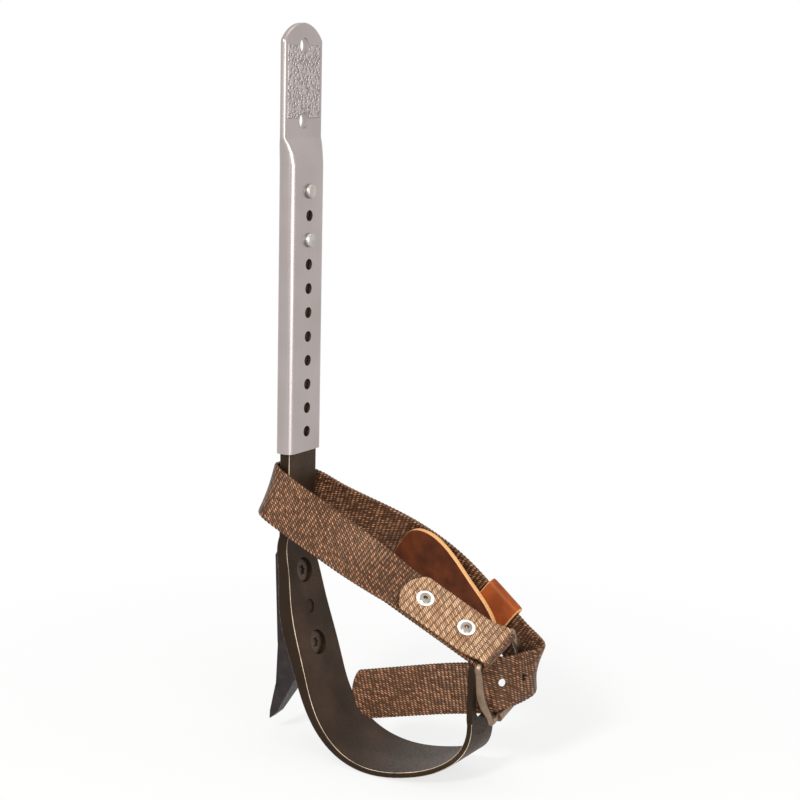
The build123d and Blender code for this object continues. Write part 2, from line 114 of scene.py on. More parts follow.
# The strap's route: the buckle's heel bar, the front run's far corner at the shank, distances back from
# the heel bar on the tail and on the front run, then points round the shank and on to the tip. The rows
# named across give the direction over the webbing's width at those points
HEEL = np.array((64.5, -4.5, 72.0))
HEEL_DIRECTION = np.array((-0.12, -0.90, -0.42))
FRONT_CORNER = np.array((-62.0, -20.5, 138.0))
TAIL_BACK = (TAIL_LENGTH, 53.0, 44.0, 34.0, 24.0, 17.0, 12.5, 5.0)
FOLD_STATIONS = 10
FRONT_BACK = (6.0, 13.0, 20.0, 30.0, 40.0, 60.0, 90.0, 119.0, 131.0)
FRONT_ACROSS = ((-0.25, -0.66, -0.71), (-0.27, -0.50, -0.82), (-0.27, -0.45, -0.85))
ROUND_SHANK = (
    (-62.5, -19.3, 136.2), (-69.6, -13.0, 138.6), (-68.0, 0, 136.8), (-67.8, 10.5, 133.5),
    (-61.5, 18.6, 130), (-48, 21.5, 125), (-4, 32, 107.5),
)
SHANK_ACROSS = (
    (-0.26, -0.36, -0.89), (-0.22, -0.20, -0.95), (-0.12, 0.0, -0.99), (-0.12, 0.08, -0.99),
    (-0.15, 0.15, -0.97), (-0.20, 0.20, -0.95), (-0.32, 0.21, -0.92),
)
KEEPER_STATIONS = 5
TO_TIP = (
    (67, 29.5, 60), (73.2, 25, 56.5), (72.2, 18.5, 54), (65, 4.2, 52.0), (55.2, -1.0, 49.0),
    (43, -2.6, 46.4), (21, -4, 41.2), (-10, -6, 33.3), (-18.5, -6.5, 31.2),
)
TIP_ACROSS = (
    (-0.35, 0.08, -0.93), (-0.20, -0.05, -0.97), (-0.10, -0.20, -0.97), (0, -0.33, -0.94),
    (0.05, -0.10, -0.99), (0.10, -0.08, -0.99), (0.15, -0.03, -0.99), (0.20, 0, -0.98), (0.20, 0, -0.98),
)

# The webbing's weave: rib and yarn pitches on the outer face and on the tail's turned-out face, how many
# yarns the slant crosses in one rib, how deep the yarns lie, and patches of soil
FACE_RIB_PITCH = 2.1
TAIL_RIB_PITCH = 3.1
YARN_PITCH = 1.25
FACE_YARN_LEAN = 0.95
TAIL_YARN_LEAN = -1.55
YARN_DEPTH = 0.17
FACE_TONES = ("#422515", "#52301C", "#7E4A2E")
# The tail's tones: the turned face's own paler tone, with painted light on top where the tail is lit
TAIL_TONES_WITH_PAINTED_LIGHT = ("#9A7052", "#BA8E6B", "#D9B48E")
SELVEDGE_START = 12.9
SELVEDGE_FADE = 0.3
SOIL_PATCH = 14.0

# Round holes: the block of quads left out, in radii, and how far past it the move fades, in blocks
HOLE_BLOCK = 1.05
HOLE_FADE = 1.2

# Leather keeper and guard, in the plane of the strap's straight rear stretch. The guard's edge rows are
# inset, share of its thickness and share of raw cut, from the rim inwards
KEEPER_START = np.array((27.0, 31.0, 90.5))
KEEPER_END = np.array((58.5, 30.5, 65.5))
KEEPER_ACROSS = np.array((-0.60, 0.15, -0.78))
KEEPER_HALF_LENGTH = 11.0
KEEPER_HALF_HEIGHT = 15.6
KEEPER_HALF_DEPTH = 3.05
KEEPER_POINTS = 96
KEEPER_POWER = 3.0
STRIP_POINTS = 56
STRIP_POWER = 9.0
LEATHER_HALF = 1.3
CUT_BAND = 0.5
CUT_FADE = 0.25
GUARD_HALF = 1.5
GUARD_MIDDLE_Z = 5.85
GUARD_BEND = 0.3
GUARD_BEND_MIDDLE = -25.0
GUARD_BEND_REACH = 37.0
GUARD_RINGS = 24
GUARD_EDGE_INSET = (0.0, 0.1, 0.3, 0.8, 1.6)
GUARD_EDGE_RISE = (0.80, 0.94, 1.0, 1.0, 1.0)
GUARD_EDGE_CUT = (1.0, 0.7, 0.0, 0.0, 0.0)
GUARD_OUTLINE = (
    (-61.6, -8), (-60.6, 3), (-54, 9.4), (-36, 12.0), (-16, 8.6), (5, 3.2),
    (11.6, -3), (11.6, -11), (5, -16.6), (-12, -20.4), (-30, -24.0), (-52, -22.4), (-60.0, -18),
)
DYE_MOTTLE = 9.0
PEBBLE_GRAIN = 0.7
PEBBLE_DEPTH = 0.12
CUT_FIBRE = 0.6

# Sleeve: a tube whose top is pressed flat to a tongue. A form's rows are height, half depth, half width,
# corner radius and the middle's place over the shank. Steps up are counted from the top height hole
SLEEVE_X = -61.0
SLEEVE_WALL = 1.83
SLEEVE_INNER_ROUND = 1.2
SLEEVE_LEAST_ROUND = 0.01
SLEEVE_LEAST_FLAT = 0.02
SLEEVE_FOOT = 157.6
SLEEVE_FORM = np.array((
    (157.6, 5.35, 14.9, 4.2, 0), (309.0, 5.35, 14.9, 4.2, 0), (315.0, 4.7, 15.4, 3.9, -0.3),
    (319.5, 3.45, 16.3, 3.0, -0.6), (323.0, 1.85, 17.1, 1.84, -0.85), (381.0, 1.85, 17.1, 1.84, -0.85),
))
SLEEVE_FLAT_POINTS = 33
SLEEVE_CORNER_POINTS = 7
CROWN_CENTRE = 360.3
CROWN_RADIUS = 20.69
CROWN_START = 372.0
CROWN_ROWS = 16
CROWN_LAST_TURN = 88.5
CROWN_CORNER_SHARE = 0.9
HEIGHT_HOLE_TOP = 295.4
HEIGHT_HOLE_PITCH = 12.7
HEIGHT_HOLE_COUNT = 11
HEIGHT_HOLE_RADIUS = 2.9
PAD_HOLES = (331.4, 369.5)
PAD_HOLE_RADIUS = 3.95
ROWS_PER_HOLE = 18
SLEEVE_STEP = HEIGHT_HOLE_PITCH / ROWS_PER_HOLE
SLEEVE_STEPS_UP = 113

# The sleeve's finish: draw lines, clouds in the plating, and the peened field on its tongue
DRAW_LINE = 0.9
DRAW_STRETCH = 0.02
DRAW_DEPTH = 0.05
PLATING_CLOUD = 30.0
PEENED_FIELD = (333.0, 370.0)
PEENED_HALF = 13.8
PEENED_FADE = 0.5
DENT_SPACING = 1.7
DENT_DEPTH = 0.6

# Leg iron's finish: forging scale, patches of oxide, and the places across where its bright edge line
# starts, part rubbed wear and part painted highlight
FORGE_SCALE = 1.2
FORGE_SCALE_DEPTH = 0.15
OXIDE_PATCH = 22.0
ARRIS_START = 9.0
ARRIS_FULL = 9.6

# Small metal pieces' stains, and the depth of their grain
STAIN_PATCH = 6.0
GRAIN_DEPTH = 0.05

# Gaff screws, on either side of a place along the knee's arc. A profile's rows are radius, height and share
# of the star's lobes
KNEE_CENTRE = (108.0, 0.0, 112.0)
KNEE_RADIUS = 169.0
KNEE_TURN = 19.5
GAFF_PLACE = 0.71
GAFF_TURN = GAFF_PLACE * KNEE_TURN
GAFF_SCREW_OFFSET = 20.0
STAR_LOBE = 0.17
STAR_POINTS = 6
SCREW_PROFILE = (
    (0, 1.6, 1), (1.2, 1.6, 1), (2.4, 1.6, 1), (2.5, 3.2, 1), (2.75, 3.3, 0.8), (3.6, 3.3, 0.3),
    (4.6, 3.3, 0), (5.9, 3.3, 0), (6.2, 3.25, 0), (6.4, 3.1, 0), (6.4, 2.1, 0),
)

# Buckle frame and prong. The prong leans back from the frame's plane, and its profile has a screw's columns
BAR_HALF = 1.7
BAR_REACH = 37.4
BAR_END = 14.0
BAR_POINTS = 15
BAR_SECTION_POINTS = 28
FRAME_CORNER_POINTS = 5
CHEEK_BOW = 2.5
CHEEK_SWELL = 0.9
CHEEK_POINTS = 33
PRONG_ANGLE = 80.0
PRONG_PROFILE = (
    (0, 33.0, 0), (0.3, 32.96, 0), (0.6, 32.84, 0), (0.85, 32.65, 0), (1.04, 32.4, 0), (1.16, 32.1, 0),
    (1.2, 31.8, 0), (1.2, 2.2, 0),
)


def unit(vector):
    """The vector, or each row of vectors, at length one."""
    vector = np.asarray(vector, float)
    return vector / np.linalg.norm(vector, axis=-1, keepdims=True)


def cubic_through(knots, values, at):
    """Natural cubic: passes through each value at its knot, with one bend rate on both sides of every
    knot and none at the ends. The bend rates come from one set of linear equations."""
    gap = np.diff(knots)[:, None]
    slope = np.diff(values, axis=0) / gap
    count = len(knots)
    inner = np.arange(1, count - 1)
    equations = np.eye(count)
    equations[inner, inner - 1] = gap[:-1, 0]
    equations[inner, inner] = 2 * (gap[:-1, 0] + gap[1:, 0])
    equations[inner, inner + 1] = gap[1:, 0]
    change = np.zeros_like(values)
    change[1:-1] = 6 * np.diff(slope, axis=0)
    bend = np.linalg.solve(equations, change)
    span = np.clip(np.searchsorted(knots, at, side="right") - 1, 0, count - 2)
    width = gap[span]
    after = (at - knots[span])[:, None]
    before = width - after
    curve = (bend[span] * before**3 + bend[span + 1] * after**3) / (6 * width)
    first = (values[span] / width - bend[span] * width / 6) * before
    second = (values[span + 1] / width - bend[span + 1] * width / 6) * after
    return curve + first + second


def chord_knots(points):
    """Distance along the straight chords from the first point to each point."""
    steps = np.linalg.norm(np.diff(points, axis=0), axis=1)
    return np.concatenate(([0.0], np.cumsum(steps)))


def strap_stations():
    """Points on the strap's middle, from the riveted tail round the buckle's heel bar to the clipped
    tip, each with the direction across the webbing. The tail and the front run lie back from the heel
    bar, one over the other, and half a circle joins them."""
    heel_way = unit(HEEL_DIRECTION)
    run = unit(HEEL - FRONT_CORNER)
    normal = unit(np.cross(heel_way, run))
    lift = np.full(len(TAIL_BACK), TAIL_LIFT)
    lift[-1] += FOLD_LIFT
    tail = HEEL - np.array(TAIL_BACK)[:, None] * run + lift[:, None] * normal
    turn = np.radians(np.linspace(0, 180, FOLD_STATIONS))[:, None]
    fold = HEEL + FOLD_RADIUS * (np.cos(turn) * normal + np.sin(turn) * run)
    front = HEEL - FOLD_RADIUS * normal - np.array(FRONT_BACK)[:, None] * run
    part = np.linspace(0, 1, KEEPER_STATIONS)[:, None]
    in_keeper = KEEPER_START + part * (KEEPER_END - KEEPER_START)
    held = len(tail) + len(fold) + len(front) - len(FRONT_ACROSS)
    across = np.vstack((
        np.tile(heel_way, (held, 1)), FRONT_ACROSS, SHANK_ACROSS,
        np.tile(KEEPER_ACROSS, (KEEPER_STATIONS, 1)), TIP_ACROSS,
    ))
    return np.vstack((tail, fold, front, ROUND_SHANK, in_keeper, TO_TIP)), unit(across)


def strap_frames():
    """Even places along the strap: distance from the tail, middle point, direction across and direction
    square to the webbing. The across direction is turned square to the run at each place."""
    points, across = strap_stations()
    knots = chord_knots(points)
    fine = np.linspace(0, knots[-1], ROUTE_POINTS)
    length = chord_knots(cubic_through(knots, points, fine))
    along = np.linspace(0, length[-1], int(length[-1] / STRAP_STEP))
    at = np.interp(along, length, fine)
    middle = cubic_through(knots, points, at)
    run = unit(np.gradient(middle, axis=0))
    span = np.clip(np.searchsorted(knots, at, side="right") - 1, 0, len(knots) - 2)
    part = ((at - knots[span]) / (knots[span + 1] - knots[span]))[:, None]
    side = across[span] * (1 - part) + across[span + 1] * part
    side = unit(side - run * np.sum(side * run, axis=1, keepdims=True))
    return along, middle, side, np.cross(run, side)


def grid_quads(rows, columns, keep):
    """Quads of a grid of points, row by row, where keep is true. A keep as long or as wide as the grid
    closes it that way."""
    row, column = np.nonzero(keep)
    next_row = (row + 1) % rows
    next_column = (column + 1) % columns
    corners = (row * columns + column, next_row * columns + column,
               next_row * columns + next_column, row * columns + next_column)
    return np.stack(corners, axis=1)


def plate_faces(rows, columns, keep):
    """Front grid, back grid turned over, and a wall from front to back along every open edge."""
    front = grid_quads(rows, columns, keep)
    count = rows * columns
    start = front.ravel()
    end = np.roll(front, -1, axis=1).ravel()
    lone = ~np.isin(start * count + end, end * count + start)
    start, end = start[lone], end[lone]
    wall = np.stack((end, start, start + count, end + count), axis=1)
    return np.vstack((front, front[:, ::-1] + count, wall))


def make_piece(name, points, faces, mark=None, uv=None):
    """Mesh object from points in millimetres and quads. The mark tells a soft piece's two looks apart: the
    leather's raw cut edge, or the webbing's turned-out face. A map, where there is one, is along and
    across in millimetres. A metal piece has neither and keeps its edges crisp."""
    used, faces = np.unique(faces, return_inverse=True)
    mesh = bpy.data.meshes.new(name)
    mesh.from_pydata((points[used] * MM).tolist(), [], faces.reshape(-1, 4).tolist())
    if uv is not None:
        corner = np.zeros(len(mesh.loops), np.int32)
        mesh.loops.foreach_get("vertex_index", corner)
        layer = mesh.uv_layers.new(name="along_across_mm")
        layer.uv.foreach_set("vector", uv[used][corner].astype(np.float32).ravel())
    if mark is not None:
        layer = mesh.attributes.new("mark", "FLOAT", "POINT")
        layer.data.foreach_set("value", mark[used].astype(np.float32))
    mesh.shade_smooth()
    if mark is None:
        mesh.set_sharp_from_angle(angle=np.radians(CRISP_ANGLE))
    piece = bpy.data.objects.new(name, mesh)
    bpy.context.scene.collection.objects.link(piece)
    return piece


def open_round_hole(along, across, keep, row, columns, radius):
    """Rounds a hole into a flat grid, in place: a block of quads about a row is left out, its rim is drawn
    onto the circle, and the quads round it share out the move."""
    block = radius * HOLE_BLOCK
    off_row = along[:, columns[0]] - along[row, columns[0]]
    rows = np.where(np.abs(off_row) < block)[0]
    inside = columns[np.abs(across[row, columns]) < block]
    keep[rows[0]:rows[-1], inside[0]:inside[-1]] = False
    block_along = off_row[rows[-1]]
    block_across = np.abs(across[row, inside[-1]])
    off_along = along[:, columns] - along[row, columns[0]]
    off_across = across[:, columns]
    size = np.maximum(np.abs(off_along) / block_along, np.abs(off_across) / block_across)
    away = np.maximum(np.hypot(off_along, off_across), NEAR_ZERO)
    share = np.clip((size - 1) / HOLE_FADE, 0, 1)
    factor = radius / away * (1 - share) + share
    along[:, columns] += off_along * (factor - 1)
    across[:, columns] *= factor


def strap_webbing():
    """Webbing as a plate carried along the route. Across it the faces fall to thin selvedges by a high
    power of the place across, along it low ribs rise as half sines, and the selvedge has a tooth for each
    rib. Both ends are cut on a bow: the last stretch is drawn back by the square of the place across."""
    along, middle, side, normal = strap_frames()
    half = np.array(STRAP_COLUMNS)
    place = np.concatenate((-half[:0:-1], half))
    total = along[-1]
    flat_along, flat_across = np.meshgrid(along, place, indexing="ij")
    keep = np.ones((len(along) - 1, len(place) - 1), bool)
    for hole in range(BUCKLE_HOLE_COUNT):
        row = np.searchsorted(along, total - FIRST_BUCKLE_HOLE - hole * BUCKLE_HOLE_PITCH)
        open_round_hole(flat_along, flat_across, keep, row, np.arange(len(place)), BUCKLE_HOLE_RADIUS)
    slot_start = TAIL_LENGTH + np.radians(PRONG_SLOT_START) * FOLD_RADIUS
    slot_end = TAIL_LENGTH + np.pi * FOLD_RADIUS + PRONG_SLOT_BACK
    rows = np.where((along > slot_start) & (along < slot_end))[0]
    columns = np.where(np.abs(place) <= PRONG_SLOT_HALF)[0]
    keep[rows[0]:rows[-1], columns[0]:columns[-1]] = False
    share = np.abs(flat_across) / STRAP_HALF_WIDTH
    bow = END_BOW * share**2
    from_tip = np.clip(1 - (total - flat_along) / END_BOW_REACH, 0, 1)
    from_tail = np.clip(1 - flat_along / END_BOW_REACH, 0, 1)
    flat_along = flat_along - bow * from_tip + bow * from_tail
    at_edge = np.clip((share - SELVEDGE_SHARE) / (1 - SELVEDGE_SHARE), 0, 1)
    tooth = np.abs((2 * flat_along / RIB_PITCH) % 2 - 1) * at_edge
    flat_across = flat_across - np.sign(flat_across) * SELVEDGE_TOOTH * tooth
    thick = STRAP_HALF_THICK * np.sqrt(np.clip(1 - share**SELVEDGE_POWER * SELVEDGE_THINNING, 0, 1))
    thick = thick + RIB_RISE * (np.abs(np.sin(np.pi * flat_along / RIB_PITCH)) - 0.5)
    shift = [np.interp(flat_along.ravel(), along, axis) for axis in (*middle.T, *side.T, *normal.T)]
    centre = np.stack(shift[:3], axis=1)
    across = np.stack(shift[3:6], axis=1) * flat_across.reshape(-1, 1)
    lift = np.stack(shift[6:], axis=1) * thick.reshape(-1, 1)
    points = np.vstack((centre + across + lift, centre + across - lift))
    turned_face = np.concatenate((np.zeros(flat_along.size), (flat_along < TURNED_FACE_END).ravel()))
    uv = np.tile(np.stack((flat_along.ravel(), flat_across.ravel()), axis=1), (2, 1))
    return make_piece("strap_webbing", points, plate_faces(*flat_along.shape, keep), turned_face, uv)


def keeper_axes():
    """Middle of the keeper and its directions: along the strap, up across it, and to the boot's side."""
    run = unit(KEEPER_END - KEEPER_START)
    up = unit(run * np.dot(KEEPER_ACROSS, run) - KEEPER_ACROSS)
    return (KEEPER_START + KEEPER_END) / 2, np.stack((run, up, np.cross(run, up)))


def power_round(count, power):
    """Unit loop between a circle and a square, as so many points: each coordinate's size is raised to two
    over the power, so that a power of two is a circle."""
    angle = np.linspace(0, 2 * np.pi, count, endpoint=False)
    both = np.stack((np.cos(angle), np.sin(angle)), axis=-1)
    return np.sign(both) * np.abs(both) ** (2 / power)


def keeper_loop():
    """Leather loop: a flat strip's section with tight round corners, carried round a long rounded loop."""
    path = power_round(KEEPER_POINTS, KEEPER_POWER) * (KEEPER_HALF_HEIGHT, KEEPER_HALF_DEPTH)
    tangent = unit(np.roll(path, -1, axis=0) - np.roll(path, 1, axis=0))
    outward = np.stack((tangent[:, 1], -tangent[:, 0]), axis=1)
    section = power_round(STRIP_POINTS, STRIP_POWER) * (KEEPER_HALF_LENGTH, LEATHER_HALF)
    size = (KEEPER_POINTS, STRIP_POINTS)
    along = np.broadcast_to(section[:, 0], size)
    flat = path[:, None, :] + outward[:, None, :] * section[None, :, 1:]
    centre, axes = keeper_axes()
    local = np.stack((along, flat[..., 0], flat[..., 1]), axis=-1).reshape(-1, 3)
    cut = np.clip((np.abs(local[:, 0]) - KEEPER_HALF_LENGTH + CUT_BAND) / CUT_FADE, 0, 1)
    faces = grid_quads(*size, np.ones(size, bool))
    return make_piece("keeper_loop", centre + local @ axes, faces[:, ::-1], cut)


def square_rings(count):
    """Points of a square grid: how many rings each lies in from the rim, and its turn round the middle."""
    step = np.arange(-count, count + 1)
    column, row = np.meshgrid(step, step, indexing="ij")
    return count - np.maximum(np.abs(row), np.abs(column)), (-np.arctan2(row, column) / (2 * np.pi)) % 1


def guard_pad():
    """Leather guard: the rings of a square grid are drawn onto its outline, the outer ones close behind
    the cut edge and the rest shrinking evenly to its middle, as a plate with crisp cut edges. The pad
    bends off its plane by the square of the place along it."""
    outline = np.array(GUARD_OUTLINE + GUARD_OUTLINE[:3], float)
    knots = chord_knots(outline)
    depth, turn = square_rings(GUARD_RINGS)
    rim = cubic_through(knots, outline, knots[1] + turn.ravel() * (knots[-2] - knots[1]))
    middle = np.array(GUARD_OUTLINE).mean(axis=0)
    reach = np.linalg.norm(rim - middle, axis=1).reshape(depth.shape)
    edge = np.arange(len(GUARD_EDGE_INSET))
    near_rim = 1 - np.interp(depth, edge, GUARD_EDGE_INSET) / reach
    within = np.clip((GUARD_RINGS - depth) / (GUARD_RINGS - edge[-1]), 0, 1)
    flat = middle + (rim - middle) * (near_rim * within).reshape(-1, 1)
    rise = GUARD_HALF * np.interp(depth, edge, GUARD_EDGE_RISE).ravel()
    bend = GUARD_MIDDLE_Z + GUARD_BEND * ((flat[:, 0] - GUARD_BEND_MIDDLE) / GUARD_BEND_REACH) ** 2
    local = np.vstack((np.column_stack((flat, bend + rise)), np.column_stack((flat, bend - rise))))
    keep = np.ones((2 * GUARD_RINGS, 2 * GUARD_RINGS), bool)
    cut = np.tile(np.interp(depth, edge, GUARD_EDGE_CUT).ravel(), 2)
    centre, axes = keeper_axes()
    return make_piece("guard_pad", centre + local @ axes, plate_faces(*depth.shape, keep), cut)


def sleeve_tube():
    """Sleeve as a plate bent round to a tube: at each height a rounded rectangle outside and one a wall
    smaller inside, which meet where the tube is pressed flat. Over the crown's start the half width
    follows a circle. Round holes are opened in the front, and through the tongue."""
    step = np.arange(np.ceil((SLEEVE_FOOT - HEIGHT_HOLE_TOP) / SLEEVE_STEP), SLEEVE_STEPS_UP)
    level = HEIGHT_HOLE_TOP + step * SLEEVE_STEP
    lean = np.arcsin((level[-1] - CROWN_CENTRE) / CROWN_RADIUS)
    crown_turn = np.linspace(lean, np.radians(CROWN_LAST_TURN), CROWN_ROWS)[1:]
    level = np.concatenate(([SLEEVE_FOOT], level, CROWN_CENTRE + CROWN_RADIUS * np.sin(crown_turn)))
    form = [np.interp(level, SLEEVE_FORM[:, 0], part) for part in SLEEVE_FORM[:, 1:].T]
    half_x, half_y, corner, shift = form
    over = np.sqrt(np.maximum(CROWN_RADIUS**2 - (level - CROWN_CENTRE) ** 2, 0))
    half_y = np.where(level > CROWN_START, np.minimum(half_y, over), half_y)
    corner = np.minimum(corner, half_y * CROWN_CORNER_SHARE)
    flat = np.linspace(-1, 1, SLEEVE_FLAT_POINTS)
    side = np.ones(SLEEVE_FLAT_POINTS)
    ones = np.ones(SLEEVE_CORNER_POINTS)
    bend = np.radians(np.linspace(0, 90, SLEEVE_CORNER_POINTS + 2)[1:-1])
    to_x = np.concatenate((side, ones, -ones, -side, -ones, ones))
    to_y = np.concatenate((flat, ones, ones, -flat, -ones, -ones))
    turn = np.concatenate((
        flat * 0, bend, bend + np.pi / 2, flat * 0 + np.pi, bend + np.pi, bend - np.pi / 2,
    ))
    rows, columns = len(level), len(turn)
    front = np.arange(SLEEVE_FLAT_POINTS)
    back = front + SLEEVE_FLAT_POINTS + 2 * SLEEVE_CORNER_POINTS
    keep = np.ones((rows - 1, columns), bool)
    layers = []
    for wall, largest in ((0.0, np.inf), (SLEEVE_WALL, SLEEVE_INNER_ROUND)):
        radius = np.clip(corner - wall, SLEEVE_LEAST_ROUND, largest)[:, None]
        x = to_x * ((half_x - wall)[:, None] - radius) + radius * np.cos(turn) + shift[:, None]
        reach = np.maximum((half_y - wall)[:, None] - radius, SLEEVE_LEAST_FLAT)
        y = to_y * reach + radius * np.sin(turn)
        z = np.repeat(level[:, None], columns, axis=1)
        for hole in range(HEIGHT_HOLE_COUNT):
            row = np.argmin(np.abs(level - HEIGHT_HOLE_TOP + hole * HEIGHT_HOLE_PITCH))
            open_round_hole(z, y, keep, row, front, HEIGHT_HOLE_RADIUS)
        for height in PAD_HOLES:
            row = np.argmin(np.abs(level - height))
            open_round_hole(z, y, keep, row, front, PAD_HOLE_RADIUS)
            open_round_hole(z, y, keep, row, back, PAD_HOLE_RADIUS)
        layers.append(np.stack((x + SLEEVE_X, -y, z), axis=-1).reshape(-1, 3))
    return make_piece("sleeve_tube", np.vstack(layers), plate_faces(rows, columns, keep))


def turned_plug(name, centre, axes, profile, lobes=0.0):
    """Solid round its third axis: the rings of a square grid become circles by a profile of radius, height
    and lobe share, with a flat back at the profile's last height and a straight wall. A lobe share swings
    the ring's radius as a cosine, once for each of the star's points."""
    radius, height, share = np.array(profile).T
    rings = len(radius) - 2
    depth, turn = square_rings(rings)
    ring = rings - depth
    angle = -2 * np.pi * turn
    away = radius[ring] * (1 + lobes * share[ring] * np.cos(STAR_POINTS * angle))
    flat = np.stack((away * np.cos(angle), away * np.sin(angle)), axis=-1).reshape(-1, 2)
    top = np.column_stack((flat, height[ring].ravel()))
    back = np.column_stack((flat, np.full(len(flat), height[-1])))
    keep = np.ones((2 * rings, 2 * rings), bool)
    points = centre + np.vstack((top, back)) @ axes
    return make_piece(name, points, plate_faces(*depth.shape, keep))


def gaff_screw_head(name, side):
    """Star-recess screw head, a little below the iron's face, on the knee's arc."""
    turn = np.radians(GAFF_TURN)
    out = np.array((np.cos(turn), 0, np.sin(turn)))
    up = np.array((-np.sin(turn), 0, np.cos(turn)))
    centre = np.array(KNEE_CENTRE) - KNEE_RADIUS * out + side * GAFF_SCREW_OFFSET * up
    return turned_plug(name, centre, np.stack(((0, 1, 0), up, out)), SCREW_PROFILE, STAR_LOBE)


def buckle_axes():
    """Directions of the buckle: from its heel bar to its roller, along the heel bar, and square to both."""
    heel_way = unit(HEEL_DIRECTION)
    facing = unit(np.array((1, 0, 0)) - heel_way * heel_way[0])
    return np.cross(facing, heel_way), heel_way, facing


def buckle_loop():
    """Buckle frame: an oval section carried round a closed loop. Its two bars are round and straight. Its
    cheeks bow outwards and grow broader by the square of a sine between the bars."""
    down, heel_way, facing = buckle_axes()
    bend = np.radians(np.linspace(0, 90, FRAME_CORNER_POINTS + 2)[1:-1])
    part = np.linspace(0, 1, CHEEK_POINTS)
    bulge = np.sin(np.pi * part) ** 2
    bar = np.linspace(0, BAR_END, BAR_POINTS)
    x = np.concatenate((
        bar * 0, BAR_HALF * (1 - np.cos(bend)), BAR_HALF + (BAR_REACH - 2 * BAR_HALF) * part,
        BAR_REACH - BAR_HALF * (1 - np.sin(bend)), bar * 0 + BAR_REACH,
    ))
    y = np.concatenate((
        bar, BAR_END + BAR_HALF * np.sin(bend), BAR_END + BAR_HALF + CHEEK_BOW * bulge,
        BAR_END + BAR_HALF * np.cos(bend), bar[::-1],
    ))
    even = np.zeros(BAR_POINTS + FRAME_CORNER_POINTS)
    swell = np.concatenate((even, CHEEK_SWELL * bulge, even))
    loop = np.vstack((np.stack((x, y), axis=1), np.stack((x, -y), axis=1)[-2:0:-1]))
    half = BAR_HALF + np.concatenate((swell, swell[-2:0:-1]))
    tangent = unit(np.roll(loop, -1, axis=0) - np.roll(loop, 1, axis=0))
    outward = np.stack((-tangent[:, 1], tangent[:, 0]), axis=1)
    round_bar = power_round(BAR_SECTION_POINTS, 2.0)
    flat = loop[:, None, :] + outward[:, None, :] * half[:, None, None] * round_bar[None, :, :1]
    deep = np.broadcast_to(BAR_HALF * round_bar[:, 1], flat.shape[:2])
    local = np.concatenate((flat, deep[..., None]), axis=-1).reshape(-1, 3)
    faces = grid_quads(*flat.shape[:2], np.ones(flat.shape[:2], bool))
    return make_piece("buckle_loop", HEEL + local @ np.stack((down, heel_way, facing)), faces)


def prong_rod():
    """Wire prong: a straight round bar with a domed tip, from the heel bar back under the front run."""
    down, heel_way, facing = buckle_axes()
    lean = np.radians(PRONG_ANGLE)
    way = np.cos(lean) * down - np.sin(lean) * facing
    axes = np.stack((heel_way, np.cross(way, heel_way), way))
    return turned_plug("prong_rod", HEEL, axes, PRONG_PROFILE)


def linear(colour):
    """Linear red, green, blue and alpha of an sRGB hex colour, by the sRGB standard's own curve."""
    parts = np.array([int(colour[place:place + 2], 16) / 255 for place in (1, 3, 5)])
    low = parts / 12.92
    high = ((parts + 0.055) / 1.055) ** 2.4
    return (*np.where(parts <= 0.04045, low, high).tolist(), 1.0)


def add(tree, kind, sockets=None, **settings):
    """One shader node with its settings; a socket's value that is a node or an output is linked."""
    made = tree.nodes.new("ShaderNode" + kind)
    for name, value in settings.items():
        setattr(made, name, value)
    for name, value in (sockets or {}).items():
        if isinstance(value, bpy.types.Node):
            tree.links.new(value.outputs[0], made.inputs[name])
        elif isinstance(value, bpy.types.NodeSocket):
            tree.links.new(value, made.inputs[name])
        else:
            made.inputs[name].default_value = value
    return made


def new_material(name):
    """New node material: itself, its tree and its surface shader."""
    material = bpy.data.materials.new(name)
    material.use_nodes = True
    return material, material.node_tree, material.node_tree.nodes["Principled BSDF"]


def sine_half(tree, turns):
    """Size of a sine that rises and falls once over each whole turn."""
    angle = add(tree, "Math", {0: turns, 1: np.pi}, operation="MULTIPLY")
    wave = add(tree, "Math", {0: angle}, operation="SINE")
    return add(tree, "Math", {0: wave}, operation="ABSOLUTE")


